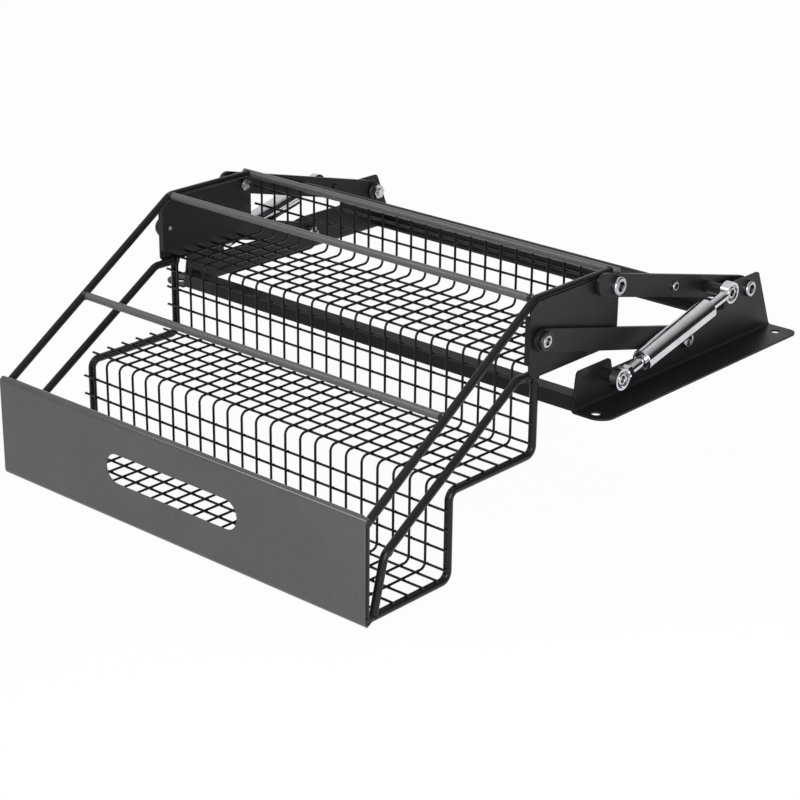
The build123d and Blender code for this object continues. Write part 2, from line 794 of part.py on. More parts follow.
plate_front_y = upper_riser_y - plate_front
plate_top = rail_z - plate_top_below_rail
plate_bottom = upper_z - plate_below_tier
plate_rear_y = rear_y + plate_rear
slope_drop = (rail_bend_y - plate_front_y) * rail_slope
plate_outline = [
    (plate_front_y, plate_top - slope_drop),
    (plate_front_y, plate_bottom + plate_nose_z),
    (plate_front_y + plate_nose_y, plate_bottom),
    (plate_rear_y, plate_bottom),
    (plate_rear_y, plate_top),
    (rail_bend_y, plate_top),
]

with BuildPart() as right_side_plate:
    with BuildSketch(side_plane(plate_inner_x)) as plate_shape:
        with BuildLine():
            Polyline(*plate_outline, close=True)
        make_face()
        fillet(plate_shape.vertices().sort_by(Axis.Z)[:3], plate_corner_r)
    extrude(amount=plate_sheet)
    # The front edge is folded inwards as a narrow lip
    fold_from = plate_bottom + plate_fold_rise
    fold_to = plate_top - slope_drop - plate_fold_end_gap
    with BuildSketch(side_plane(plate_outer_x)):
        with Locations((plate_front_y, fold_from)):
            Rectangle(plate_sheet, fold_to - fold_from, align=(Align.MIN, Align.MIN))
    extrude(amount=-plate_fold)
    bore(upper_link, plate_inner_x, plate_outer_x, pivot_bolt_d + 2 * hole_clearance)
    bore(lower_link, plate_inner_x, plate_outer_x, link_screw_d + 2 * hole_clearance)
    add(mesh_rod_tool, mode=Mode.SUBTRACT)

with BuildPart() as left_side_plate:
    add(mirrored(right_side_plate))

# ---------------------------------------------------------------- link bolts on the plates

with BuildPart() as link_washers:
    for pivot in (upper_link, lower_link):
        disc(pivot, plate_outer_x + weld_gap, arm_inner_x - side_play, link_washer_d)
        bore(pivot, plate_outer_x, arm_inner_x, pivot_bolt_d + 2 * hole_clearance)
    both_sides(link_washers)

link_nut_x = plate_inner_x - weld_gap

with BuildPart() as upper_link_bolts:
    socket_head(upper_link, arm_outer_x + side_play, link_head_d, link_head_height)
    tip_x = link_nut_x - link_nut_height - link_bolt_tip
    disc(upper_link, tip_x, arm_outer_x + side_play, pivot_bolt_d)
    both_sides(upper_link_bolts)

with BuildPart() as upper_link_nuts:
    hexagon(upper_link, link_nut_x - link_nut_height, link_nut_x, link_nut_width)
    bore(upper_link, link_nut_x - link_nut_height, link_nut_x, pivot_bolt_d + 2 * weld_gap)
    both_sides(upper_link_nuts)

boss_from = arm_outer_x + side_play
boss_to = boss_from + boss_height

with BuildPart() as lower_link_bosses:
    disc(lower_link, boss_from, boss_to, boss_d)
    chamfer(edges().group_by(Axis.X)[-1], boss_rim)
    bore(lower_link, boss_from, boss_to, boss_head_d + 2 * weld_gap)
    both_sides(lower_link_bosses)

with BuildPart() as lower_link_bolts:
    socket_head(lower_link, boss_from, boss_head_d, boss_height)
    disc(lower_link, plate_outer_x + weld_gap, boss_from, pivot_bolt_d)
    disc(lower_link, link_nut_x - link_screw_tip, plate_outer_x + weld_gap, link_screw_d)
    both_sides(lower_link_bolts)

# ---------------------------------------------------------------- files

pieces = {
    "left_bracket": left_bracket,
    "right_bracket": right_bracket,
    "front_crossbar": front_crossbar,
    "rear_crossbar": rear_crossbar,
    "upper_pivot_bolts": upper_pivot_bolts,
    "lower_pivot_bolts": lower_pivot_bolts,
    "pivot_spacers": pivot_spacers,
    "upper_pivot_caps": upper_pivot_caps,
    "upper_pivot_nuts": upper_pivot_nuts,
    "lower_pivot_nuts": lower_pivot_nuts,
    "bracket_damper_studs": bracket_damper_studs,
    "left_upper_arm": left_upper_arm,
    "right_upper_arm": right_upper_arm,
    "torsion_tube": torsion_tube,
    "tube_screws": tube_screws,
    "arm_damper_studs": arm_damper_studs,
    "arm_stud_screws": arm_stud_screws,
    "left_lower_arm": left_lower_arm,
    "right_lower_arm": right_lower_arm,
    "left_damper_tube": left_damper_tube,
    "right_damper_tube": right_damper_tube,
    "left_damper_guide": left_damper_guide,
    "right_damper_guide": right_damper_guide,
    "left_tube_eye": left_tube_eye,
    "right_tube_eye": right_tube_eye,
    "left_damper_rod": left_damper_rod,
    "right_damper_rod": right_damper_rod,
    "left_damper_piston": left_damper_piston,
    "right_damper_piston": right_damper_piston,
    "left_rod_eye": left_rod_eye,
    "right_rod_eye": right_rod_eye,
    "left_ear_screw": left_ear_screw,
    "right_ear_screw": right_ear_screw,
    "front_panel": front_panel,
    "panel_top_rod": panel_top_rod,
    "panel_bottom_rod": panel_bottom_rod,
    "panel_uprights": panel_uprights,
    "left_stair_rod": left_stair_rod,
    "right_stair_rod": right_stair_rod,
    "left_lower_rail": left_lower_rail,
    "right_lower_rail": right_lower_rail,
    "left_upper_rail": left_upper_rail,
    "right_upper_rail": right_upper_rail,
    "mid_cross_rod": mid_cross_rod,
    "top_cross_rod": top_cross_rod,
    "mesh_top_rod": mesh_top_rod,
    "left_side_plate": left_side_plate,
    "right_side_plate": right_side_plate,
    "long_wires": long_wires,
    "lower_tier_cross_wires": lower_tier_cross_wires,
    "lower_riser_cross_wires": lower_riser_cross_wires,
    "middle_tier_cross_wires": middle_tier_cross_wires,
    "upper_riser_cross_wires": upper_riser_cross_wires,
    "upper_tier_cross_wires": upper_tier_cross_wires,
    "rear_wall_cross_wires": rear_wall_cross_wires,
    "link_washers": link_washers,
    "upper_link_bolts": upper_link_bolts,
    "upper_link_nuts": upper_link_nuts,
    "lower_link_bosses": lower_link_bosses,
    "lower_link_bolts": lower_link_bolts,
}

for name, piece in pieces.items():
    piece.part.label = name
    export_step(piece.part, f"parts/{name}.step")
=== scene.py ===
"""Finishes, weld detail and stage for a pull-down lift basket.

Laid out as an add-on and run as a script.
"""

import json
import math

import bpy
from mathutils import Matrix, Vector


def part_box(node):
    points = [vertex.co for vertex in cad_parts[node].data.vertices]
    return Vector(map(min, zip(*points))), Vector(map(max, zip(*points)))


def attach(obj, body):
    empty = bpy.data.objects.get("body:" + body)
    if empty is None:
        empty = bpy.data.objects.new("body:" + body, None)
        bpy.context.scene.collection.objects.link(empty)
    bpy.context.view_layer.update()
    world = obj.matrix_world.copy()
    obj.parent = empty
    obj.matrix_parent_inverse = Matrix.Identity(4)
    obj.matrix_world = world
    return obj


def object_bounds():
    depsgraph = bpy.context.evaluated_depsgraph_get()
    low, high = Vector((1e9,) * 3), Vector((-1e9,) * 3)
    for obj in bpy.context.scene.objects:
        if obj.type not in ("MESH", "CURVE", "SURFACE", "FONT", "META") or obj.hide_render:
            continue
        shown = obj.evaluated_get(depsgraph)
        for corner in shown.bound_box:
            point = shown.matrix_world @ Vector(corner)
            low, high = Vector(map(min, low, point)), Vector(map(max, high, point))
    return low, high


bl_info = {
    "name": "Lift Basket Finishes",
    "version": (1, 0, 0),
    "blender": (4, 5, 0),
    "location": "3D View > Sidebar > Lift Basket",
    "description": "Coats, chrome, welds and stage for a pull-down wall cabinet basket",
    "category": "Object",
}

MM = 0.001

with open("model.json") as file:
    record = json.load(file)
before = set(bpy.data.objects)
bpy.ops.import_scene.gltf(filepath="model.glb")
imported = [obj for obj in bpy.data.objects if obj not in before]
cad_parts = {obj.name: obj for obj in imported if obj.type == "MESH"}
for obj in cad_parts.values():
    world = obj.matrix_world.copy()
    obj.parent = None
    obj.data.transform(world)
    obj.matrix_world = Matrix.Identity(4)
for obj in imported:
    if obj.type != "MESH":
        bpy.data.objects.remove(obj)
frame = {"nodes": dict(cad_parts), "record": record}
cad_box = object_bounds()


# ------------------------------------------------------------------ places read from the frame


def middle(node_name):
    """Centre of a frame node's box, in metres."""
    lowest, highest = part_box(node_name)
    return (lowest + highest) / 2


def radius_of(node_name):
    """Radius of a round bar that lies along X."""
    lowest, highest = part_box(node_name)
    return (highest.z - lowest.z) / 2


def damper_run():
    """From a damper's eye on the bracket to its eye on the upper arm, seen from the side."""
    ear, stud = middle("right_ear_screw"), middle("arm_stud_screws")
    return Vector((0, stud.y - ear.y, stud.z - ear.z))


ROD_RADIUS = radius_of("mid_cross_rod")
WIRE_RADIUS = radius_of("lower_tier_cross_wires")
RAIL_X = middle("right_upper_rail").x
DAMPER_RUN = damper_run()
LOWEST_Z = cad_box[0][2]


# ------------------------------------------------------------------ small helpers


def linear(hex_code):
    """Opaque linear colour from an sRGB hex value such as 5f5f60."""
    channels = [int(hex_code[place : place + 2], 16) / 255 for place in (0, 2, 4)]
    return (*[c / 12.92 if c <= 0.04045 else ((c + 0.055) / 1.055) ** 2.4 for c in channels], 1.0)


def per_mm(size):
    """Pattern scale, in repeats per metre, for a pattern of that size in millimetres."""
    return 1 / (size * MM)


def add_node(tree, kind, settings=None, values=None, links=None):
    """Add one shader node, with its settings, its socket values and the sockets that feed it."""
    made = tree.nodes.new(kind)
    for name, value in (settings or {}).items():
        setattr(made, name, value)
    for name, value in (values or {}).items():
        made.inputs[name].default_value = value
    for name, source in (links or {}).items():
        tree.links.new(source, made.inputs[name])
    return made


def new_material(name):
    """Empty material with a surface shader, its output and object coordinates."""
    material = bpy.data.materials.new(name)
    material.use_nodes = True
    tree = material.node_tree
    tree.nodes.clear()
    shader = add_node(tree, "ShaderNodeBsdfPrincipled")
    add_node(tree, "ShaderNodeOutputMaterial", links={"Surface": shader.outputs["BSDF"]})
    place = add_node(tree, "ShaderNodeTexCoord").outputs["Object"]
    return material, tree, shader, place


def deselect():
    """Leave nothing selected, so an operator acts on its own piece only."""
    bpy.ops.object.select_all(action="DESELECT")


def choose(piece):
    """Select one piece and make it active."""
    deselect()
    piece.select_set(True)
    bpy.context.view_layer.objects.active = piece


def apply_modifiers(piece):
    """Apply every modifier of a piece, in order."""
    choose(piece)
    for modifier in list(piece.modifiers):
        bpy.ops.object.modifier_apply(modifier=modifier.name)


def flatten(share):
    """Squash the active piece to a share of its height, and shade it smooth."""
    bpy.ops.object.mode_set(mode="EDIT")
    bpy.ops.mesh.select_all(action="SELECT")
    bpy.ops.transform.resize(value=(1.0, 1.0, share))
    bpy.ops.object.mode_set(mode="OBJECT")
    bpy.ops.object.shade_smooth()


def placed_copy(piece, matrix):
    """Copy of a piece with its own mesh, moved and turned by a matrix that is then applied."""
    choose(piece)
    bpy.ops.object.duplicate(linked=False)
    copy = bpy.context.view_layer.objects.active
    copy.matrix_world = matrix
    bpy.ops.object.transform_apply(location=True, rotation=True, scale=True)
    return copy


def join(pieces, name):
    """One object made of several."""
    deselect()
    for piece in pieces:
        piece.select_set(True)
    bpy.context.view_layer.objects.active = pieces[0]
    bpy.ops.object.join()
    joined = bpy.context.view_layer.objects.active
    joined.name = name
    joined.data.name = name
    return joined


def remove(piece):
    """Delete a pattern piece that has been copied."""
    choose(piece)
    bpy.ops.object.delete()


def finish_piece(piece, body, material):
    """Give a new piece its finish and the body that it rides on."""
    piece.data.materials.clear()
    piece.data.materials.append(material)
    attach(piece, body)


def facing(direction, along, origin):
    """Matrix that turns +Z to direction and +X as near as it can to along, and moves to origin."""
    up = Vector(direction).normalized()
    side = Vector(along) - up * Vector(along).dot(up)
    side.normalize()
    other = up.cross(side)
    turn = Matrix((side, other, up)).transposed().to_4x4()
    return Matrix.Translation(Vector(origin)) @ turn


# ------------------------------------------------------------------ settings


class BasketFinishSettings(bpy.types.PropertyGroup):
    """Colours of the finishes."""

    black_coat: bpy.props.FloatVectorProperty(
        name="Black coat",
        description="Powder coat of brackets, arms and side plates",
        subtype="COLOR",
        size=4,
        min=0,
        max=1,
        default=linear("1c1c1d"),
    )
    panel_coat: bpy.props.FloatVectorProperty(
        name="Panel coat",
        description="Powder coat of the front panel",
        subtype="COLOR",
        size=4,
        min=0,
        max=1,
        default=linear("474748"),
    )
    rod_coat: bpy.props.FloatVectorProperty(
        name="Rod coat",
        description="Powder coat of the side rods and of the rods inside the panel",
        subtype="COLOR",
        size=4,
        min=0,
        max=1,
        default=linear("1a1a1b"),
    )
    # On the mesh top rod this lighter grey is a painted highlight streak
    cross_rod_coat: bpy.props.FloatVectorProperty(
        name="Cross rod coat",
        description="Powder coat of the three cross rods behind the panel",
        subtype="COLOR",
        size=4,
        min=0,
        max=1,
        default=linear("545455"),
    )
    wire_coat: bpy.props.FloatVectorProperty(
        name="Wire coat",
        description="Powder coat of the mesh wires",
        subtype="COLOR",
        size=4,
        min=0,
        max=1,
        default=linear("131314"),
    )
    chrome_tint: bpy.props.FloatVectorProperty(
        name="Chrome tint",
        description="Colour of the chromed dampers",
        subtype="COLOR",
        size=4,
        min=0,
        max=1,
        default=linear("d4d5d8"),
    )
    screw_tint: bpy.props.FloatVectorProperty(
        name="Screw tint",
        description="Colour of the zinc plated screws and nuts",
        subtype="COLOR",
        size=4,
        min=0,
        max=1,
        default=linear("c2c3c6"),
    )


class BasketDetailSettings(bpy.types.PropertyGroup):
    """Sizes of the welds and the damper rims."""

    bead_thickness: bpy.props.FloatProperty(
        name="Weld bead",
        description="Thickness of the bead where two rods meet",
        subtype="DISTANCE",
        unit="LENGTH",
        default=1.1 * MM,
        min=0.5 * MM,
        max=3 * MM,
    )
    spot_width: bpy.props.FloatProperty(
        name="Spot weld",
        description="Width of the fused spot where two wires cross",
        subtype="DISTANCE",
        unit="LENGTH",
        default=2.4 * MM,
        min=1 * MM,
        max=5 * MM,
    )
    rim_thickness: bpy.props.FloatProperty(
        name="Damper rim",
        description="Thickness of the rolled rim at the mouth of a damper tube",
        subtype="DISTANCE",
        unit="LENGTH",
        default=2.4 * MM,
        min=0.5 * MM,
        max=3 * MM,
    )


class BasketStageSettings(bpy.types.PropertyGroup):
    """Camera and light."""

    azimuth: bpy.props.FloatProperty(
        name="Azimuth",
        description="Camera angle to the right of the front",
        subtype="ANGLE",
        default=math.radians(41.505),
    )
    elevation: bpy.props.FloatProperty(
        name="Elevation",
        description="Camera angle above the horizon",
        subtype="ANGLE",
        default=math.radians(21.758),
    )
    roll: bpy.props.FloatProperty(
        name="Roll",
        description="Turn of the camera about its own axis",
        subtype="ANGLE",
        default=math.radians(0.628),
    )
    distance: bpy.props.FloatProperty(
        name="Distance",
        description="From the camera to the point it looks at",
        subtype="DISTANCE",
        unit="LENGTH",
        default=1820.28 * MM,
    )
    target: bpy.props.FloatVectorProperty(
        name="Target",
        description="Point the camera looks at",
        subtype="TRANSLATION",
        unit="LENGTH",
        size=3,
        default=(143.48 * MM, -263.82 * MM, 16.48 * MM),
    )
    focal_length: bpy.props.FloatProperty(
        name="Focal length",
        description="Focal length in millimetres on a 36 mm sensor",
        default=95.201,
    )
    surround_level: bpy.props.FloatProperty(
        name="Surround",
        description="Light that reaches the basket from all round",
        default=0.82,
        min=0.1,
        max=2,
    )
    key_power: bpy.props.FloatProperty(
        name="Key lamp",
        description="Power of the large lamp at the upper left",
        unit="POWER",
        default=9.0,
        min=0,
    )
    fill_power: bpy.props.FloatProperty(
        name="Fill lamp",
        description="Power of the soft lamp in front, a little to the right",
        unit="POWER",
        default=6.0,
        min=0,
    )
    backdrop_tint: bpy.props.FloatVectorProperty(
        name="Backdrop",
        description="Colour of the floor",
        subtype="COLOR",
        size=4,
        min=0,
        max=1,
        default=linear("f0f0f0"),
    )


# ------------------------------------------------------------------ finishes


# Sizes of the patterns, in millimetres
COAT_CLOUD_MM = 60
COAT_SPECKLE_MM = 2.2
CHROME_STAIN_MM = 14
ZINC_CLOUD_MM = 3
ZINC_MARK_MM = 0.5
ZINC_EDGE_MM = 0.25
RECESS_MM = 4
NYLON_CLOUD_MM = 6
NYLON_GRAIN_MM = 0.8


def powder_coat(name, colour, peel_mm, roughness, edge_highlight_gain, edge_mm, sheen):
    """Powder coat, sprayed dry on steel and baked: a satin skin with a fine orange peel.

    The peel is really about 0.3 mm across and is drawn at peel_mm so that it shows. Along sharp
    edges the colour is painted lighter by the edge gain across edge_mm: a painted highlight.
    """
    material, tree, shader, place = new_material(name)
    cloud = add_node(
        tree,
        "ShaderNodeTexNoise",
        values={"Scale": per_mm(COAT_CLOUD_MM), "Detail": 3.0},
        links={"Vector": place},
    )
    speckle = add_node(
        tree,
        "ShaderNodeTexNoise",
        values={"Scale": per_mm(COAT_SPECKLE_MM), "Detail": 2.0},
        links={"Vector": place},
    )
    tone = add_node(
        tree,
        "ShaderNodeMath",
        {"operation": "ADD"},
        links={0: cloud.outputs["Fac"], 1: speckle.outputs["Fac"]},
    )
    shade = add_node(
        tree,
        "ShaderNodeMapRange",
        values={"From Min": 0.7, "From Max": 1.3, "To Min": 0.9, "To Max": 1.1},
        links={"Value": tone.outputs[0]},
    )
    rounded = add_node(tree, "ShaderNodeBevel", {"samples": 4}, {"Radius": edge_mm * MM})
    flat = add_node(tree, "ShaderNodeNewGeometry")
    # 1 on a flat face, and less where the rounded edge turns away from it
    turn = add_node(
        tree,
        "ShaderNodeVectorMath",
        {"operation": "DOT_PRODUCT"},
        links={0: rounded.outputs[0], 1: flat.outputs["Normal"]},
    )
    # Painted highlight: the colour grows lighter where the rounded edge turns away from the flat face
    edge = add_node(
        tree,
        "ShaderNodeMapRange",
        values={"From Min": 0.99, "From Max": 0.8, "To Min": 1.0, "To Max": 1.0 + edge_highlight_gain},
        links={"Value": turn.outputs["Value"]},
    )
    tone_and_edge_highlight = add_node(
        tree,
        "ShaderNodeMath",
        {"operation": "MULTIPLY"},
        links={0: shade.outputs[0], 1: edge.outputs[0]},
    )
    tinted = add_node(
        tree,
        "ShaderNodeVectorMath",
        {"operation": "SCALE"},
        {0: colour[:3]},
        {"Scale": tone_and_edge_highlight.outputs[0]},
    )
    tree.links.new(tinted.outputs[0], shader.inputs["Base Color"])
    gloss = add_node(
        tree,
        "ShaderNodeMapRange",
        values={
            "From Min": 0.35,
            "From Max": 0.65,
            "To Min": roughness - 0.05,
            "To Max": roughness + 0.05,
        },
        links={"Value": cloud.outputs["Fac"]},
    )
    tree.links.new(gloss.outputs[0], shader.inputs["Roughness"])
    peel = add_node(
        tree,
        "ShaderNodeTexNoise",
        values={"Scale": per_mm(peel_mm), "Detail": 1.5},
        links={"Vector": place},
    )
    bump = add_node(
        tree,
        "ShaderNodeBump",
        values={"Strength": 0.35, "Distance": 0.03 * MM},
        links={"Height": peel.outputs["Fac"], "Normal": rounded.outputs[0]},
    )
    tree.links.new(bump.outputs[0], shader.inputs["Normal"])
    shader.inputs["Specular IOR Level"].default_value = sheen
    return material


def drawn_metal(name, colour, roughness, streak_mm, lean):
    """Plated round metal, polished along its length: bright, with fine lengthwise lines.

    The lines are really a few hundredths of a millimetre wide and are drawn at streak_mm. lean is the
    angle of the piece's length above the Y axis.
    """
    material, tree, shader, place = new_material(name)
    turned = add_node(
        tree,
        "ShaderNodeMapping",
        {"vector_type": "POINT"},
        {"Rotation": (-lean, 0, 0), "Scale": (1, 0.02, 1)},
        {"Vector": place},
    )
    streak = add_node(
        tree,
        "ShaderNodeTexNoise",
        values={"Scale": per_mm(streak_mm), "Detail": 4.0, "Roughness": 0.6},
        links={"Vector": turned.outputs[0]},
    )
    stain = add_node(
        tree,
        "ShaderNodeTexNoise",
        values={"Scale": per_mm(CHROME_STAIN_MM), "Detail": 3.0},
        links={"Vector": place},
    )
    gloss = add_node(
        tree,
        "ShaderNodeMapRange",
        values={
            "From Min": 0.3,
            "From Max": 0.7,
            "To Min": roughness * 0.6,
            "To Max": roughness * 1.5,
        },
        links={"Value": streak.outputs["Fac"]},
    )
    tree.links.new(gloss.outputs[0], shader.inputs["Roughness"])
    shade = add_node(
        tree,
        "ShaderNodeMapRange",
        values={"From Min": 0.35, "From Max": 0.65, "To Min": 0.9, "To Max": 1.05},
        links={"Value": stain.outputs["Fac"]},
    )
    tinted = add_node(
        tree,
        "ShaderNodeVectorMath",
        {"operation": "SCALE"},
        {0: colour[:3]},
        {"Scale": shade.outputs[0]},
    )
    tree.links.new(tinted.outputs[0], shader.inputs["Base Color"])
    bump = add_node(
        tree,
        "ShaderNodeBump",
        values={"Strength": 0.12, "Distance": 0.02 * MM},
        links={"Height": streak.outputs["Fac"]},
    )
    tree.links.new(bump.outputs[0], shader.inputs["Normal"])
    shader.inputs["Metallic"].default_value = 1.0
    return material


def plated_fastener(name, colour):
    """Zinc plate on a cold-headed screw: bright silver, with soft clouding and fine tool marks.

    The marks are really under 0.1 mm wide and are drawn at ZINC_MARK_MM so that they show.
    """
    material, tree, shader, place = new_material(name)
    cloud = add_node(
        tree,
        "ShaderNodeTexNoise",
        values={"Scale": per_mm(ZINC_CLOUD_MM), "Detail": 4.0},
        links={"Vector": place},
    )
    shade = add_node(
        tree,
        "ShaderNodeMapRange",
        values={"From Min": 0.3, "From Max": 0.7, "To Min": 0.75, "To Max": 1.1},
        links={"Value": cloud.outputs["Fac"]},
    )
    # Painted shade: the colour is darkened inside the hex recess, where little open space is near
    hollow = add_node(
        tree,
        "ShaderNodeAmbientOcclusion",
        {"samples": 8, "only_local": True},
        {"Distance": RECESS_MM * MM},
    )
    painted_recess_shade = add_node(
        tree,
        "ShaderNodeMapRange",
        values={"From Min": 0.45, "From Max": 0.85, "To Min": 0.05, "To Max": 1.0},
        links={"Value": hollow.outputs["AO"]},
    )
    cloud_and_recess_shade = add_node(
        tree,
        "ShaderNodeMath",
        {"operation": "MULTIPLY"},
        links={0: shade.outputs[0], 1: painted_recess_shade.outputs[0]},
    )
    rounded = add_node(tree, "ShaderNodeBevel", {"samples": 4}, {"Radius": ZINC_EDGE_MM * MM})
    tinted = add_node(
        tree,
        "ShaderNodeVectorMath",
        {"operation": "SCALE"},
        {0: colour[:3]},
        # The colour carries the painted shade of the recess
        {"Scale": cloud_and_recess_shade.outputs[0]},
    )
    tree.links.new(tinted.outputs[0], shader.inputs["Base Color"])
    gloss = add_node(
        tree,
        "ShaderNodeMapRange",
        values={"From Min": 0.3, "From Max": 0.7, "To Min": 0.08, "To Max": 0.2},
        links={"Value": cloud.outputs["Fac"]},
    )
    tree.links.new(gloss.outputs[0], shader.inputs["Roughness"])
    marks = add_node(
        tree,
        "ShaderNodeTexNoise",
        values={"Scale": per_mm(ZINC_MARK_MM), "Detail": 2.0},
        links={"Vector": place},
    )
    bump = add_node(
        tree,
        "ShaderNodeBump",
        values={"Strength": 0.25, "Distance": 0.02 * MM},
        links={"Height": marks.outputs["Fac"], "Normal": rounded.outputs[0]},
    )
    tree.links.new(bump.outputs[0], shader.inputs["Normal"])
    shader.inputs["Metallic"].default_value = 1.0
    return material


def moulded_nylon(name, hex_code):
    """Moulded nylon: an even dull sheen with a fine grain from a spark-eroded mould.

    The grain is really about 0.1 mm across and is drawn at NYLON_GRAIN_MM so that it shows.
    """
    material, tree, shader, place = new_material(name)
    grain = add_node(
        tree,
        "ShaderNodeTexVoronoi",
        values={"Scale": per_mm(NYLON_GRAIN_MM)},
        links={"Vector": place},
    )
    cloud = add_node(
        tree,
        "ShaderNodeTexNoise",
        values={"Scale": per_mm(NYLON_CLOUD_MM), "Detail": 2.0},
        links={"Vector": place},
    )
    shade = add_node(
        tree,
        "ShaderNodeMapRange",
        values={"From Min": 0.3, "From Max": 0.7, "To Min": 0.85, "To Max": 1.15},
        links={"Value": cloud.outputs["Fac"]},
    )
    tinted = add_node(
        tree,
        "ShaderNodeVectorMath",
        {"operation": "SCALE"},
        {0: linear(hex_code)[:3]},
        {"Scale": shade.outputs[0]},
    )
    tree.links.new(tinted.outputs[0], shader.inputs["Base Color"])
    bump = add_node(
        tree,
        "ShaderNodeBump",
        values={"Strength": 0.2, "Distance": 0.03 * MM},
        links={"Height": grain.outputs["Distance"]},
    )
    tree.links.new(bump.outputs[0], shader.inputs["Normal"])
    shader.inputs["Roughness"].default_value = 0.36
    return material


BLACK = "black powder coat on sheet steel"
PANEL = "grey powder coat on the front panel"
ROD = "anthracite powder coat on bent rod"
CROSS_ROD = "grey powder coat on cross rods"
WIRE = "black powder coat on welded wire"
CHROME = "polished chrome plate"
ZINC = "zinc plated steel"
NYLON = "moulded black nylon"

SLOT_FINISH = {
    "black_steel": BLACK,
    "panel_grey": PANEL,
    "rod_grey": ROD,
    "wire_black": WIRE,
    "chrome": CHROME,
    "bright_steel": ZINC,
    "black_plastic": NYLON,
}
# A lighter grey coat on these three rods; on the mesh top rod it is a painted highlight streak
LIGHT_RODS = ("mid_cross_rod", "top_cross_rod", "mesh_top_rod")
# The edge gain of each coat is a painted highlight along its sharp edges
COAT_LOOK = {
    BLACK: {"peel_mm": 1.2, "roughness": 0.42, "edge_highlight_gain": 0.9, "edge_mm": 0.6, "sheen": 0.22},
    PANEL: {"peel_mm": 1.2, "roughness": 0.2, "edge_highlight_gain": 0.6, "edge_mm": 0.5, "sheen": 0.45},
    ROD: {"peel_mm": 1.0, "roughness": 0.2, "edge_highlight_gain": 0.3, "edge_mm": 0.4, "sheen": 0.22},
    CROSS_ROD: {"peel_mm": 1.0, "roughness": 0.3, "edge_highlight_gain": 0.3, "edge_mm": 0.4, "sheen": 0.4},
    WIRE: {"peel_mm": 0.8, "roughness": 0.3, "edge_highlight_gain": 0.3, "edge_mm": 0.3, "sheen": 0.2},
}
NYLON_HEX = "161617"


class BASKET_OT_finishes(bpy.types.Operator):
    """Make the finishes and give each frame node its own"""

    bl_idname = "basket.finishes"
    bl_label = "Finishes"

    def execute(self, context):
        wanted = context.scene.basket_finishes
        coats = {
            BLACK: wanted.black_coat,
            PANEL: wanted.panel_coat,
            ROD: wanted.rod_coat,
            CROSS_ROD: wanted.cross_rod_coat,
            WIRE: wanted.wire_coat,
        }
        for name, colour in coats.items():
            powder_coat(name, colour, **COAT_LOOK[name])
        lean = math.atan2(DAMPER_RUN.z, DAMPER_RUN.y)
        drawn_metal(CHROME, wanted.chrome_tint, roughness=0.12, streak_mm=0.6, lean=lean)
        plated_fastener(ZINC, wanted.screw_tint)
        moulded_nylon(NYLON, NYLON_HEX)
        for part in frame["record"]["subparts"]:
            node = frame["nodes"][part["node"]]
            finish = CROSS_ROD if part["node"] in LIGHT_RODS else SLOT_FINISH[part["material_slot"]]
            for place in node.material_slots:
                place.material = bpy.data.materials[finish]
        return {"FINISHED"}


# ------------------------------------------------------------------ welds and damper rims


BEAD_STANDOFF = 0.1  # how far the ring lies outside the rod, as a share of the bead
SADDLE_BEND = math.radians(105)
RIPPLE_SIZE = 1.2 * MM
RIPPLE_DEPTH = 0.35 * MM


class BASKET_OT_rod_welds(bpy.types.Operator):
    """Weld beads where the rods of the basket frame meet"""

    bl_idname = "basket.rod_welds"
    bl_label = "Rod welds"

    def execute(self, context):
        thickness = context.scene.basket_details.bead_thickness
        deselect()
        bpy.ops.mesh.primitive_torus_add(
            major_radius=ROD_RADIUS + thickness * BEAD_STANDOFF,
            minor_radius=thickness / 2,
            major_segments=40,
            minor_segments=10,
        )
        saddle = bpy.context.view_layer.objects.active
        # The bend gives the ring the saddle shape of one rod's end on the side of another
        bend = saddle.modifiers.new("Saddle", "SIMPLE_DEFORM")
        bend.deform_method = "BEND"
        bend.deform_axis = "Y"
        bend.angle = SADDLE_BEND
        ripple = bpy.data.textures.new("weld ripple", "CLOUDS")
        ripple.noise_scale = RIPPLE_SIZE
        rough = saddle.modifiers.new("Ripple", "DISPLACE")
        rough.texture = ripple
        rough.strength = RIPPLE_DEPTH
        apply_modifiers(saddle)
        bpy.ops.object.shade_smooth()

        across, back, up = Vector((1, 0, 0)), Vector((0, 1, 0)), Vector((0, 0, 1))
        mid_rod, top_rod = middle("mid_cross_rod"), middle("top_cross_rod")
        bottom_rod, mesh_rod = middle("panel_bottom_rod"), middle("mesh_top_rod")
        slope = top_rod - middle("panel_top_rod")
        # The top rod meets the rail in its bend, half way between the slope and level
        bend_way = slope + back * slope.length
        stair_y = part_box("right_stair_rod")[1].y - ROD_RADIUS
        stair_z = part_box("right_lower_rail")[1].z - 2 * ROD_RADIUS
        beads = []
        for side in (-1, 1):
            x = side * RAIL_X
            inward = -side * across
            inside = x - side * ROD_RADIUS
            seats = (
                (inward, slope, (inside, mid_rod.y, mid_rod.z)),
                (inward, bend_way, (inside, top_rod.y, top_rod.z)),
                (back, across, (x, bottom_rod.y + ROD_RADIUS, bottom_rod.z)),
                (-back, across, (x, mesh_rod.y - ROD_RADIUS, mesh_rod.z)),
                (-up, back, (x, stair_y, stair_z)),
            )
            beads += [placed_copy(saddle, facing(*seat)) for seat in seats]
        remove(saddle)
        welds = join(beads, "rod_weld_beads")
        finish_piece(welds, "basket", bpy.data.materials[ROD])
        return {"FINISHED"}


CROSS_WIRE_NODES = (
    "lower_tier_cross_wires",
    "lower_riser_cross_wires",
    "middle_tier_cross_wires",
    "upper_riser_cross_wires",
    "upper_tier_cross_wires",
    "rear_wall_cross_wires",
)
SPOT_FLATNESS = 0.62


def rows_of(values, least_gap):
    """Middles of the groups that values fall into, parted by gaps of least_gap or more."""
    groups = []
    for value in sorted(values):
        if groups and value - groups[-1][-1] < least_gap:
            groups[-1].append(value)
        else:
            groups.append([value])
    return [(group[0] + group[-1]) / 2 for group in groups]


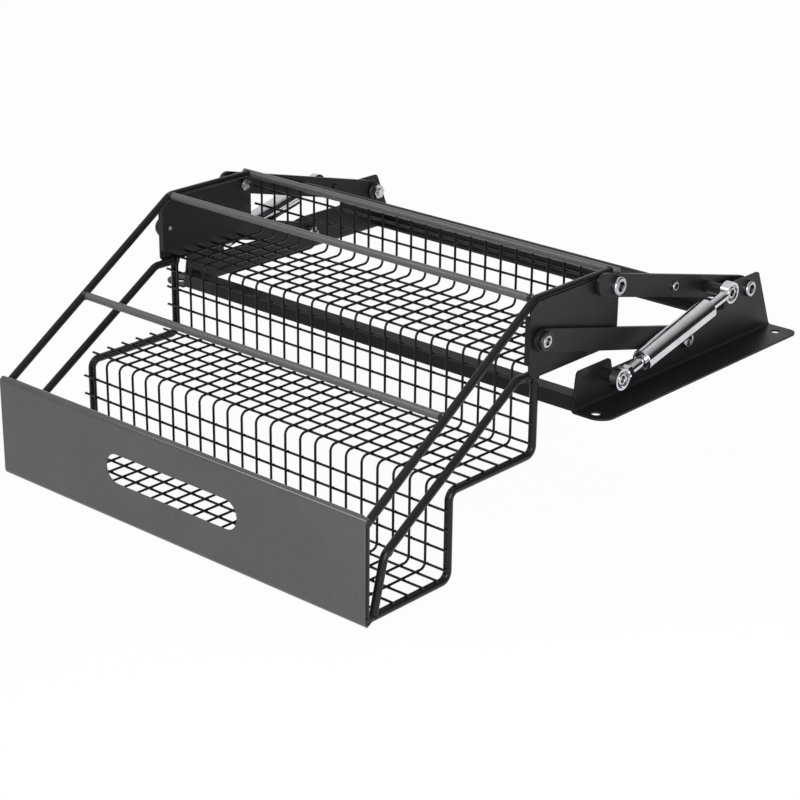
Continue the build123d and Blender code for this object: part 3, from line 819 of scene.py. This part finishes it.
class BASKET_OT_wire_spots(bpy.types.Operator):
    """Fused spots where the mesh wires cross"""

    bl_idname = "basket.wire_spots"
    bl_label = "Wire spot welds"

    def execute(self, context):
        width = context.scene.basket_details.spot_width
        long_corners = frame["nodes"]["long_wires"].data.vertices
        long_xs = rows_of([corner.co.x for corner in long_corners], 2 * WIRE_RADIUS)
        pitch = (long_xs[-1] - long_xs[0]) / (len(long_xs) - 1)
        deselect()
        bpy.ops.mesh.primitive_uv_sphere_add(segments=8, ring_count=5, radius=width / 2)
        spot = bpy.context.view_layer.objects.active
        flatten(SPOT_FLATNESS)
        row = spot.modifiers.new("Row", "ARRAY")
        row.count = len(long_xs)
        row.use_relative_offset = False
        row.use_constant_offset = True
        row.constant_offset_displace = (pitch, 0, 0)
        apply_modifiers(spot)
        rows = []
        for node_name in CROSS_WIRE_NODES:
            corners = [corner.co for corner in frame["nodes"][node_name].data.vertices]
            upright = "riser" in node_name or "wall" in node_name
            places = rows_of([corner.z if upright else corner.y for corner in corners], WIRE_RADIUS)
            fixed = middle(node_name).y if upright else middle(node_name).z
            # The long wires lie behind a riser's cross wires, in front of the wall's, above a tier's
            contact = fixed + (-WIRE_RADIUS if "wall" in node_name else WIRE_RADIUS)
            for place in places:
                if upright:
                    direction, origin = (0, 1, 0), (long_xs[0], contact, place)
                else:
                    direction, origin = (0, 0, 1), (long_xs[0], place, contact)
                rows.append(placed_copy(spot, facing(direction, (1, 0, 0), origin)))
        remove(spot)
        spots = join(rows, "wire_spot_welds")
        finish_piece(spots, "basket", bpy.data.materials[WIRE])
        return {"FINISHED"}


RIM_FLATNESS = 0.75
RIM_INSET = 0.1  # how far the rim's middle lies inside the mouth, as a share of its thickness


class BASKET_OT_damper_rims(bpy.types.Operator):
    """Rolled rim at the mouth of each damper tube"""

    bl_idname = "basket.damper_rims"
    bl_label = "Damper rims"

    def execute(self, context):
        thickness = context.scene.basket_details.rim_thickness
        axis = DAMPER_RUN.normalized()
        tube_low, tube_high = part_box("right_damper_tube")
        radius = (tube_high.x - tube_low.x) / 2
        # The tube's box in Y is its length times the cosine of its lean plus its width times the sine
        length = ((tube_high.y - tube_low.y) - 2 * radius * axis.z) / axis.y
        centre = (tube_low + tube_high) / 2
        deselect()
        bpy.ops.mesh.primitive_torus_add(
            major_radius=radius - thickness / 2,
            minor_radius=thickness / 2,
            major_segments=64,
            minor_segments=12,
        )
        rim = bpy.context.view_layer.objects.active
        flatten(RIM_FLATNESS)
        for side, name in ((-1, "left"), (1, "right")):
            x = side * centre.x
            mouth = Vector((x, centre.y, centre.z)) - axis * (length / 2 - thickness * RIM_INSET)
            ring = placed_copy(rim, facing(axis, (1, 0, 0), mouth))
            ring.name = f"{name}_damper_mouth_rim"
            finish_piece(ring, f"{name}_damper_cylinder", bpy.data.materials[CHROME])
        remove(rim)
        return {"FINISHED"}


# ------------------------------------------------------------------ stage


# The surround is white, and falls to a dark screen low down at the back right, which the chrome shows
DARK_SIDE = Vector((0.75, 0.62, 0.1)).normalized()
SURROUND_STOPS = ((0.3, 0.98), (0.5, 0.72), (0.7, 0.5), (0.83, 0.2), (0.91, 0.035))
# The low wall under the screen ends at this height and fades out over this much, on a unit sphere
WALL_TOP, WALL_FADE = 0.05, 0.02
# Share of the floor's white that is its own, so that only the rest takes the shadow
BACKDROP_GLOW = 0.95
FLOOR_SIZE = 200.0
FLOOR_GAP = 1 * MM
KEY_SIZE, KEY_OFFSET = 0.6, (-1.82, 1.64, -0.155)
FILL_SIZE, FILL_OFFSET = 0.5, (0.25, -0.1, 0.95)
SENSOR_WIDTH = 36.0
NEAR_LIMIT = 0.05


def seen_rays(tree):
    """Socket that is 1 for the camera, reflections and views through glass, and 0 for other light."""
    rays = add_node(tree, "ShaderNodeLightPath")
    seen = rays.outputs["Is Camera Ray"]
    for kind in ("Is Glossy Ray", "Is Transmission Ray"):
        both = {"operation": "ADD", "use_clamp": True}
        seen = add_node(tree, "ShaderNodeMath", both, links={0: seen, 1: rays.outputs[kind]}).outputs[0]
    return seen


class BASKET_OT_stage(bpy.types.Operator):
    """Floor, lamps, surround light and camera"""

    bl_idname = "basket.stage"
    bl_label = "Stage"

    def execute(self, context):
        wanted = context.scene.basket_stage
        deselect()
        bpy.ops.mesh.primitive_plane_add(size=FLOOR_SIZE, location=(0, 0, LOWEST_Z - FLOOR_GAP))
        floor = bpy.context.view_layer.objects.active
        floor.name = "floor"
        bpy.ops.object.transform_apply(location=True, rotation=True, scale=True)
        material = bpy.data.materials.new("matt white backdrop paper")
        material.use_nodes = True
        tree = material.node_tree
        tree.nodes.clear()
        share = add_node(
            tree,
            "ShaderNodeMath",
            {"operation": "MULTIPLY"},
            {1: BACKDROP_GLOW},
            {0: seen_rays(tree)},
        )
        paper = add_node(tree, "ShaderNodeBsdfDiffuse", values={"Color": wanted.backdrop_tint})
        glow = add_node(tree, "ShaderNodeEmission", values={"Color": (1, 1, 1, 1), "Strength": 1.0})
        mixed = add_node(
            tree,
            "ShaderNodeMixShader",
            links={0: share.outputs[0], 1: paper.outputs[0], 2: glow.outputs[0]},
        )
        add_node(tree, "ShaderNodeOutputMaterial", links={"Surface": mixed.outputs[0]})
        floor.data.materials.append(material)

        world = bpy.data.worlds.new("white surround with a dark screen")
        world.use_nodes = True
        tree = world.node_tree
        tree.nodes.clear()
        direction = add_node(tree, "ShaderNodeTexCoord").outputs["Generated"]
        toward_dark = add_node(
            tree,
            "ShaderNodeVectorMath",
            {"operation": "DOT_PRODUCT"},
            {1: DARK_SIDE},
            {0: direction},
        )
        ramp = add_node(tree, "ShaderNodeValToRGB", links={"Fac": toward_dark.outputs["Value"]})
        stops = ramp.color_ramp.elements
        while len(stops) < len(SURROUND_STOPS):
            stops.new(1.0)
        for stop, (place, level) in zip(stops, SURROUND_STOPS):
            stop.position = place
            stop.color = (level, level, level, 1)
        # The screen stands on a low white wall, so the horizon is white from every side. Where it is
        # seen the wall is full white, and it lights the basket only as the surround does.
        height = add_node(tree, "ShaderNodeSeparateXYZ", links={0: direction}).outputs["Z"]
        wall_level = add_node(
            tree,
            "ShaderNodeMath",
            {"operation": "MULTIPLY_ADD"},
            {1: 1 / wanted.surround_level - 1, 2: 1.0},
            {0: seen_rays(tree)},
        )
        wall = add_node(
            tree,
            "ShaderNodeMapRange",
            values={"From Min": WALL_TOP, "From Max": WALL_TOP + WALL_FADE, "To Max": 0.0},
            links={"Value": height, "To Min": wall_level.outputs[0]},
        )
        lighter = add_node(
            tree,
            "ShaderNodeMath",
            {"operation": "MAXIMUM"},
            links={0: ramp.outputs["Color"], 1: wall.outputs[0]},
        )
        sky = add_node(
            tree,
            "ShaderNodeBackground",
            values={"Strength": wanted.surround_level},
            links={"Color": lighter.outputs[0]},
        )
        add_node(tree, "ShaderNodeOutputWorld", links={"Surface": sky.outputs[0]})
        context.scene.world = world

        right = Vector((math.cos(wanted.azimuth), math.sin(wanted.azimuth), 0))
        back = Vector(
            (
                math.sin(wanted.azimuth) * math.cos(wanted.elevation),
                -math.cos(wanted.azimuth) * math.cos(wanted.elevation),
                math.sin(wanted.elevation),
            )
        )
        up = back.cross(right)
        target = Vector(wanted.target)

        def lamp(name, power, size, offset):
            """Square lamp aimed at the target, offset to its right, up and towards the camera."""
            place = target + right * offset[0] + Vector((0, 0, 1)) * offset[1] + back * offset[2]
            bpy.ops.object.light_add(type="AREA", location=place)
            made = bpy.context.view_layer.objects.active
            made.name = name
            made.data.energy = power
            made.data.size = size
            made.rotation_euler = (place - target).to_track_quat("Z", "Y").to_euler()

        lamp("key_lamp", wanted.key_power, KEY_SIZE, KEY_OFFSET)
        lamp("fill_lamp", wanted.fill_power, FILL_SIZE, FILL_OFFSET)

        turned_right = right * math.cos(wanted.roll) + up * math.sin(wanted.roll)
        turned_up = up * math.cos(wanted.roll) - right * math.sin(wanted.roll)
        bpy.ops.object.camera_add()
        camera = bpy.context.view_layer.objects.active
        camera.name = "camera"
        turn = Matrix((turned_right, turned_up, back)).transposed().to_4x4()
        camera.matrix_world = Matrix.Translation(target + back * wanted.distance) @ turn
        camera.data.sensor_width = SENSOR_WIDTH
        camera.data.lens = wanted.focal_length
        camera.data.clip_start = NEAR_LIMIT
        camera.data.clip_end = FLOOR_SIZE
        context.scene.camera = camera
        context.scene.view_settings.view_transform = "Standard"
        return {"FINISHED"}


# ------------------------------------------------------------------ panel and run


OPERATORS = (
    BASKET_OT_finishes,
    BASKET_OT_rod_welds,
    BASKET_OT_wire_spots,
    BASKET_OT_damper_rims,
    BASKET_OT_stage,
)


class BASKET_PT_sidebar(bpy.types.Panel):
    """Lists the settings and the steps"""

    bl_label = "Lift Basket"
    bl_idname = "BASKET_PT_sidebar"
    bl_space_type = "VIEW_3D"
    bl_region_type = "UI"
    bl_category = "Lift Basket"

    def draw(self, context):
        scene = context.scene
        for owner in (scene.basket_finishes, scene.basket_details, scene.basket_stage):
            box = self.layout.box()
            for name in owner.__annotations__:
                box.prop(owner, name)
        for operator in OPERATORS:
            self.layout.operator(operator.bl_idname)


CLASSES = (
    BasketFinishSettings,
    BasketDetailSettings,
    BasketStageSettings,
    *OPERATORS,
    BASKET_PT_sidebar,
)


def register():
    """Register the classes and their settings."""
    for one in CLASSES:
        bpy.utils.register_class(one)
    bpy.types.Scene.basket_finishes = bpy.props.PointerProperty(type=BasketFinishSettings)
    bpy.types.Scene.basket_details = bpy.props.PointerProperty(type=BasketDetailSettings)
    bpy.types.Scene.basket_stage = bpy.props.PointerProperty(type=BasketStageSettings)


def unregister():
    """Remove the settings and the classes."""
    del bpy.types.Scene.basket_stage
    del bpy.types.Scene.basket_details
    del bpy.types.Scene.basket_finishes
    for one in reversed(CLASSES):
        bpy.utils.unregister_class(one)


def main():
    """Run every step in order."""
    register()
    bpy.ops.basket.finishes()
    bpy.ops.basket.rod_welds()
    bpy.ops.basket.wire_spots()
    bpy.ops.basket.damper_rims()
    bpy.ops.basket.stage()


if __name__ == "__main__":
    main()
